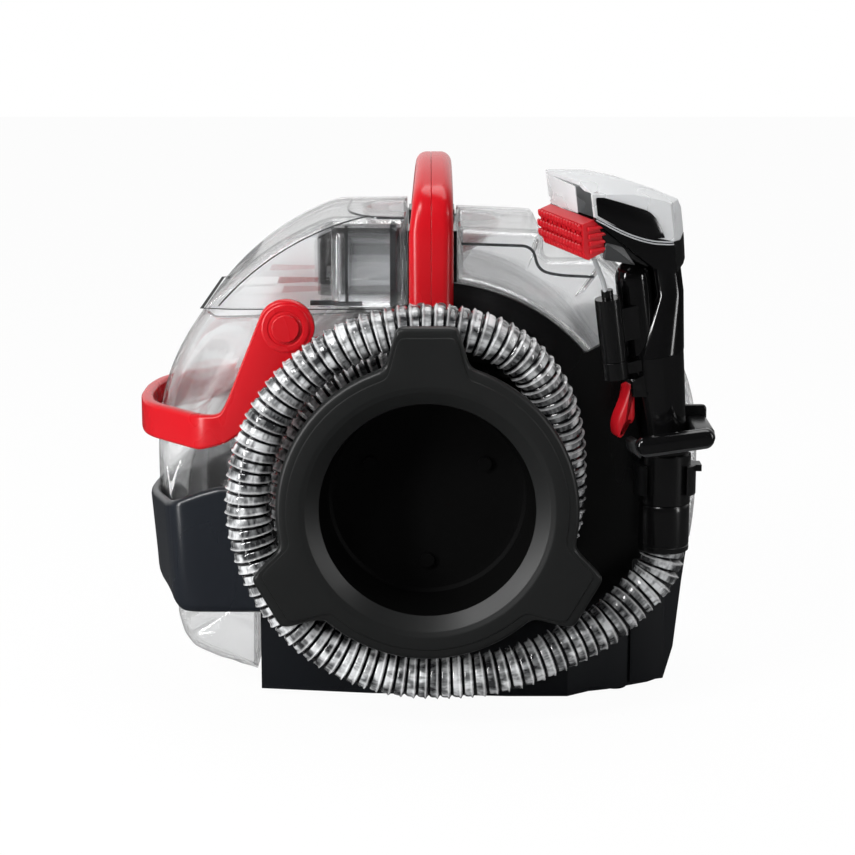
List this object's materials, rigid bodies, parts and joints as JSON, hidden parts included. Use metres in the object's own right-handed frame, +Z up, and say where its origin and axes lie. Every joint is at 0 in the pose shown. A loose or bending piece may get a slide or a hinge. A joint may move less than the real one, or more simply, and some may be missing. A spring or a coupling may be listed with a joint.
{
  "type": "spot extractor",
  "caption": "Portable spot extractor: two clear lift-off tanks round a drum body, carry handle, wound hose on a lugged rack, and a hand tool with trigger and brush.",
  "frame": {"origin": "floor under the middle of the machine", "axes": "+Z up, -Y the hose side, +X towards the clean tank"},
  "size_m": [0.372, 0.2902, 0.338],
  "materials": {
    "black_plastic": "fine texture",
    "body_plastic": "fine texture",
    "belt_plastic": "satin",
    "dark_rubber": "matte",
    "steel": "satin",
    "clear_plastic": "polished",
    "hose_plastic": "satin",
    "red_plastic": "satin",
    "grey_plastic": "satin",
    "motor_paint": "satin",
    "white_plastic": "satin",
    "gloss_black": "gloss",
    "float_plastic": "satin"
  },
  "bodies": {
    "body": {"base_shell": "body_plastic", "base_plate": "black_plastic", "feet": "dark_rubber", "base_screws": "steel", "tank_belt": "belt_plastic", "drum_housing": "black_plastic", "near_panel": "body_plastic", "far_panel": "body_plastic", "exhaust_grille": "black_plastic", "cord_gland": "dark_rubber", "cord_hook_fixed": "black_plastic", "switch_bezel": "black_plastic", "handle_left": "red_plastic", "handle_right": "red_plastic", "handle_screws": "steel", "hose_rack": "black_plastic", "rack_screws": "steel", "hose_elbow": "black_plastic", "hose": "hose_plastic", "inlet_duct": "black_plastic", "suction_duct": "black_plastic", "fan_housing": "grey_plastic", "motor": "motor_paint", "bearings": "steel", "motor_mount": "black_plastic", "pump": "motor_paint", "water_lines": "white_plastic", "valve_socket": "black_plastic", "tool_hook": "gloss_black", "wand_rest": "black_plastic", "hose_cuff": "black_plastic", "wand_stem": "black_plastic", "grip_front": "black_plastic", "grip_back": "gloss_black", "trigger_pin": "steel", "spray_valve": "black_plastic"},
    "dirty_tank": {"dirty_tank": "clear_plastic", "bail_pins": "red_plastic"},
    "lid": {"tank_lid": "clear_plastic", "lid_seal": "dark_rubber", "float_cage": "black_plastic"},
    "float": {"float_ball": "float_plastic"},
    "bail": {"bail": "red_plastic"},
    "clean_tank": {"clean_tank": "clear_plastic"},
    "cap": {"tank_cap": "black_plastic"},
    "valve": {"valve_plunger": "steel"},
    "tool": {"tool_neck": "gloss_black", "tool_head": "black_plastic", "tool_window": "clear_plastic", "spray_barrel": "black_plastic", "spray_line": "grey_plastic", "brush_bracket": "grey_plastic", "brush": "red_plastic"},
    "trigger": {"trigger": "red_plastic"},
    "fan": {"impeller": "white_plastic", "motor_shaft": "steel"},
    "switch": {"power_switch": "red_plastic"},
    "cord_hook": {"cord_hook_turning": "black_plastic"}
  },
  "joints": [
    {"name": "dirty_tank_lift", "type": "slide", "parent": "body", "child": "dirty_tank", "axis": [0, 0, 1], "range_m": [0, 0.25]},
    {"name": "lid_lift", "type": "slide", "parent": "dirty_tank", "child": "lid", "axis": [0, 0, 1], "range_m": [0, 0.035]},
    {"name": "float_rise", "type": "slide", "parent": "lid", "child": "float", "axis": [0, 0, 1], "range_m": [0, 0.007]},
    {"name": "bail_swing", "type": "hinge", "parent": "dirty_tank", "child": "bail", "pos_m": [-0.086, 0.022, 0.239], "axis": [0, 1, 0], "range_deg": [0, 115]},
    {"name": "clean_tank_lift", "type": "slide", "parent": "body", "child": "clean_tank", "axis": [0, 0, 1], "range_m": [0, 0.25]},
    {"name": "cap_turn", "type": "hinge", "parent": "clean_tank", "child": "cap", "pos_m": [0.148, 0.022, 0.085], "axis": [0, 0, 1], "range_deg": [0, 90]},
    {"name": "valve_lift", "type": "slide", "parent": "cap", "child": "valve", "axis": [0, 0, 1], "range_m": [0, 0.003], "stiffness_N_per_m": 200},
    {"name": "tool_release", "type": "slide", "parent": "body", "child": "tool", "axis": [-0.1305, -0.1122, 0.9851], "range_m": [0, 0.04]},
    {"name": "trigger_pull", "type": "hinge", "parent": "body", "child": "trigger", "pos_m": [0.12234, -0.09331, 0.20865], "axis": [0.3553, -0.9329, -0.0592], "range_deg": [0, 10], "stiffness_Nm_per_rad": 0.3},
    {"name": "fan_spin", "type": "hinge", "parent": "body", "child": "fan", "pos_m": [0.00275, 0, 0.139], "axis": [0, 1, 0], "continuous": true},
    {"name": "switch_rock", "type": "hinge", "parent": "body", "child": "switch", "pos_m": [0.06, 0.105, 0.2], "axis": [1, 0, 0], "range_deg": [-8, 8]},
    {"name": "cord_hook_turn", "type": "hinge", "parent": "body", "child": "cord_hook", "pos_m": [-0.055, 0.12, 0.205], "axis": [0, 1, 0], "range_deg": [0, 180]}
  ]
}
